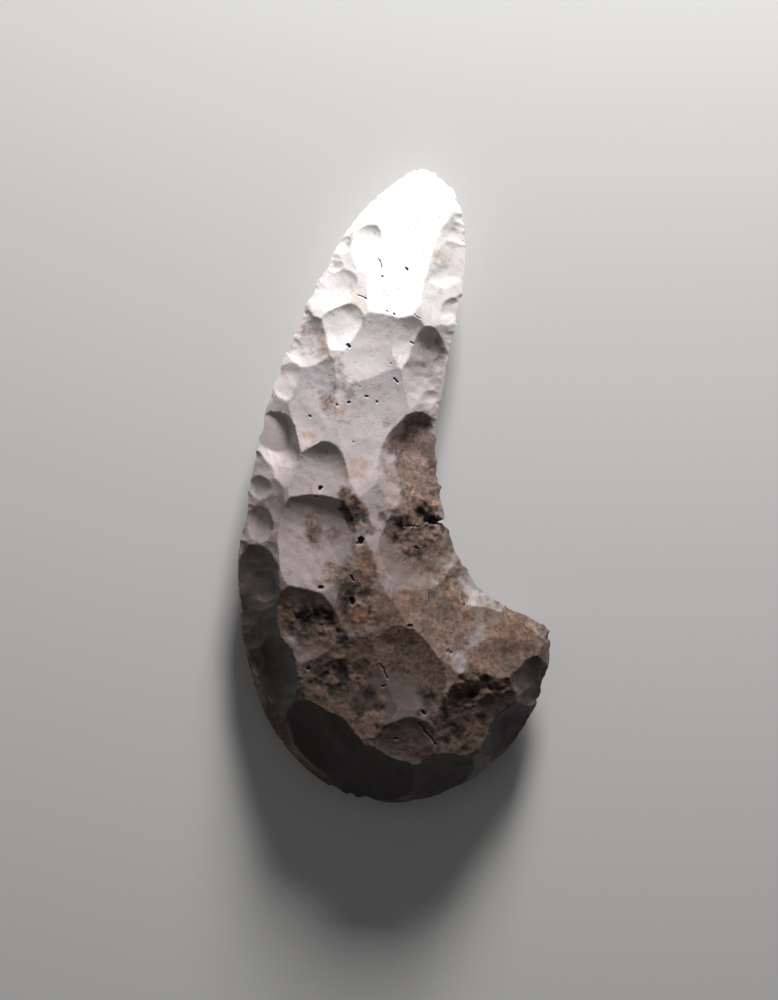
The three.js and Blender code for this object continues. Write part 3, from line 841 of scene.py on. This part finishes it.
def build_stone():
    points, triangles, colours = skin(Stone())
    low, high = (np.array(corner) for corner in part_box(NODE))
    centre = (points[:, :2].min(axis=0) + points[:, :2].max(axis=0)) / 2
    points = np.column_stack([points[:, :2] - centre, points[:, 2] + REST_DEPTH]) * MM
    points[:, :2] += (low[:2] + high[:2]) / 2
    points[:, 2] += low[2]
    mesh = bpy.data.meshes.new("flaked_flint")
    mesh.from_pydata(points.tolist(), [], triangles.tolist())
    mesh.update()
    mesh.shade_smooth()
    mesh.set_sharp_from_angle(angle=math.radians(SHARP_ANGLE))
    patina_and_falloff = mesh.attributes.new("patina_and_falloff", "FLOAT_COLOR", "POINT")
    patina_and_falloff.data.foreach_set("color", np.column_stack([colours[:, :3], np.ones(len(colours))]).ravel())
    for name, column in (("crust", 3), ("ochre", 4), ("painted_hollow_shade", 5)):
        layer = mesh.attributes.new(name, "FLOAT", "POINT")
        layer.data.foreach_set("value", colours[:, column].copy())
    stone = bpy.data.objects.new("flaked_flint", mesh)
    bpy.context.scene.collection.objects.link(stone)
    stone.data.materials.append(flint_material())
    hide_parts(NODE)
    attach(stone, "root")
    return stone


def new_material(name):
    material = bpy.data.materials.new(name)
    material.use_nodes = True
    return material, material.node_tree.nodes, material.node_tree.links


class Nodes:
    """Short ways to add the shader nodes that the flint needs."""

    def __init__(self, tree):
        self.nodes, self.links = tree.nodes, tree.links
        self.place = self.nodes.new("ShaderNodeTexCoord").outputs["Object"]

    def attribute(self, name, output):
        node = self.nodes.new("ShaderNodeAttribute")
        node.attribute_name = name
        return node.outputs[output]

    def texture(self, kind, output, size_mm, **settings):
        """A texture with bumps or cells about this size."""
        node = self.nodes.new(kind)
        for name, value in {"Scale": 1 / (size_mm * MM), **settings}.items():
            node.inputs[name].default_value = value
        self.links.new(self.place, node.inputs["Vector"])
        return node.outputs[output]

    def noise(self, size_mm, detail):
        return self.texture("ShaderNodeTexNoise", "Fac", size_mm, Detail=detail, Roughness=NOISE_ROUGHNESS)

    def ramp(self, value, low, high, dark, light):
        """Maps value from low..high to dark..light."""
        node = self.nodes.new("ShaderNodeMapRange")
        for name, number in (("From Min", low), ("From Max", high), ("To Min", dark), ("To Max", light)):
            node.inputs[name].default_value = number
        self.links.new(value, node.inputs["Value"])
        return node.outputs["Result"]

    def math(self, operation, *values):
        node = self.nodes.new("ShaderNodeMath")
        node.operation = operation
        for socket, value in zip(node.inputs, values):
            self.feed(socket, value)
        return node.outputs["Value"]

    def feed(self, socket, value):
        if isinstance(value, bpy.types.NodeSocket):
            self.links.new(value, socket)
        else:
            socket.default_value = value

    def vector(self, operation, colour, other):
        """SCALE takes a number for the other, and MULTIPLY a colour."""
        node = self.nodes.new("ShaderNodeVectorMath")
        node.operation = operation
        self.feed(node.inputs[0], colour)
        self.feed(node.inputs["Scale" if operation == "SCALE" else 1], other)
        return node.outputs["Vector"]

    def mix(self, amount, under, over):
        node = self.nodes.new("ShaderNodeMix")
        node.data_type = "RGBA"
        for socket, value in zip((node.inputs[0], node.inputs[6], node.inputs[7]), (amount, under, over)):
            self.feed(socket, value)
        return node.outputs[2]

    def coverage(self, amount, noise, full):
        """Turns an amount into a ragged mask: the noise adds to it, and the mask is whole at full."""
        total = self.math("ADD", self.math("MULTIPLY", amount, AMOUNT_SHARE), noise)
        return self.ramp(total, full - COVER_RIM, full, 0, 1)


def flint_material():
    """Patinated flint with painted light falloff, with specks, ochre and crust lying over it in ragged
    patches, and painted shade in the crust's hollows.
    """
    material, nodes, links = new_material("flint")
    shader = nodes["Principled BSDF"]
    flint = Nodes(material.node_tree)
    fine = flint.noise(*FINE_NOISE)
    middle = flint.noise(*MIDDLE_NOISE)
    broad = flint.noise(*BROAD_NOISE)
    shade = flint.math("MULTIPLY", flint.ramp(fine, *FINE_SHADES), flint.ramp(middle, *MIDDLE_SHADES))
    patina_and_falloff = flint.vector("SCALE", flint.attribute("patina_and_falloff", "Color"), shade)
    crust = flint.coverage(flint.attribute("crust", "Fac"), flint.noise(*CRUST_NOISE), CRUST_FULL)
    grit = flint.math("MULTIPLY", flint.math("ADD", flint.noise(*GRIT_NOISE), middle), 0.5)
    crust_over = crust_colour(flint, patina_and_falloff, grit, broad)
    colour = flint.mix(flint.math("MULTIPLY", crust, CRUST_SHOW), patina_and_falloff, crust_over)
    colour = stained(flint, colour, broad)
    links.new(colour, shader.inputs["Base Color"])
    links.new(flint.ramp(crust, 0, 1, FLINT_ROUGH, CRUST_ROUGH), shader.inputs["Roughness"])
    relief = flint.math("ADD", flint.math("MULTIPLY", fine, FINE_BUMP), flint.math("MULTIPLY", crust, grit))
    bump = nodes.new("ShaderNodeBump")
    bump.inputs["Strength"].default_value = BUMP_STRENGTH
    bump.inputs["Distance"].default_value = BUMP_DEPTH * MM
    links.new(relief, bump.inputs["Height"])
    links.new(bump.outputs["Normal"], shader.inputs["Normal"])
    return material


def crust_colour(flint, patina_and_falloff, grit, broad):
    """The crust's colour, shaded by grit, clouds and dark grains."""
    clouds = flint.ramp(broad, *CLOUD_SHADES)
    grains = flint.ramp(flint.noise(*GRAIN_NOISE), *GRAIN_SHADES)
    shade = flint.math("MULTIPLY", flint.ramp(grit, *CRUST_SHADES), flint.math("MULTIPLY", clouds, grains))
    tinted = flint.mix(CRUST_OWN, flint.vector("MULTIPLY", patina_and_falloff, CRUST_TINT), (*CRUST_COLOUR, 1))
    return flint.vector("SCALE", tinted, shade)


def stained(flint, colour, broad):
    """The colour with ochre, painted shade in the crust's hollows, and specks over it."""
    ochre = flint.coverage(flint.attribute("ochre", "Fac"), flint.noise(*OCHRE_NOISE), OCHRE_FULL)
    over = flint.vector("MULTIPLY", colour, OCHRE_TINT)
    colour = flint.mix(flint.math("MULTIPLY", ochre, OCHRE_SHOW), colour, over)
    colour = flint.vector("SCALE", colour, flint.ramp(flint.attribute("painted_hollow_shade", "Fac"), *PAINTED_HOLLOW_SHADES))
    dots = flint.ramp(flint.texture("ShaderNodeTexVoronoi", "Distance", SPECK_SPACING), *SPECK_DOTS)
    specks = flint.math("MULTIPLY", dots, flint.ramp(broad, *SPECK_CLOUDS))
    return flint.mix(specks, colour, (*SPECK_COLOUR, 1))


def build_floor():
    bpy.ops.mesh.primitive_plane_add(size=FLOOR_SIZE)
    floor = bpy.context.object
    floor.name = "floor"
    material, nodes, _ = new_material("floor")
    nodes["Principled BSDF"].inputs["Base Color"].default_value = (*FLOOR_COLOUR, 1)
    nodes["Principled BSDF"].inputs["Roughness"].default_value = FLOOR_ROUGH
    floor.data.materials.append(material)


def add_area_light(name, azimuth, elevation, distance, size, power):
    """A square light aimed at the stone."""
    turn, rise = math.radians(azimuth), math.radians(elevation)
    data = bpy.data.lights.new(name, "AREA")
    data.size = size
    data.energy = power
    light = bpy.data.objects.new(name, data)
    towards = Vector((math.sin(turn) * math.cos(rise), math.cos(turn) * math.cos(rise), math.sin(rise)))
    light.location = towards * distance
    light.rotation_euler = towards.to_track_quat("Z", "Y").to_euler()
    bpy.context.scene.collection.objects.link(light)


def build_light():
    add_area_light("key", **KEY_LIGHT)
    add_area_light("fill", **FILL_LIGHT)
    world = bpy.data.worlds.new("studio")
    bpy.context.scene.world = world
    world.use_nodes = True
    world.node_tree.nodes["Background"].inputs["Color"].default_value = (1, 1, 1, 1)
    world.node_tree.nodes["Background"].inputs["Strength"].default_value = WORLD_STRENGTH
    bpy.context.scene.view_settings.view_transform = "Standard"


def build_camera():
    """Looks down on the stone as the photograph faces it, with the tip at the top of the frame."""
    low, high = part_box(NODE)
    middle = Vector(((low[0] + high[0]) / 2, (low[1] + high[1]) / 2, REST_DEPTH * MM))
    target = middle + Vector((AIM_X, AIM_Y, 0)) * MM
    data = bpy.data.cameras.new("camera")
    data.lens = LENS
    data.sensor_fit = "VERTICAL"
    data.sensor_height = SENSOR
    camera = bpy.data.objects.new("camera", data)
    tilt = math.radians(CAMERA_TILT)
    camera.location = target + Vector((0, math.sin(tilt), math.cos(tilt))) * CAMERA_DISTANCE
    camera.rotation_euler = (-tilt, 0, 0)
    bpy.context.scene.collection.objects.link(camera)
    bpy.context.scene.camera = camera


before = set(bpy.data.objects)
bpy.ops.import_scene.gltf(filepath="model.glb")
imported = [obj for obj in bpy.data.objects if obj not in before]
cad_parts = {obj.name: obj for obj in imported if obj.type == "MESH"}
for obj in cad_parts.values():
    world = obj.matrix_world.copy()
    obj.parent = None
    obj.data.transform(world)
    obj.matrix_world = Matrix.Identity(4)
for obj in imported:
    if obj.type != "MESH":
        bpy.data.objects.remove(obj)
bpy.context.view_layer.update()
build_stone()
build_floor()
build_light()
build_camera()
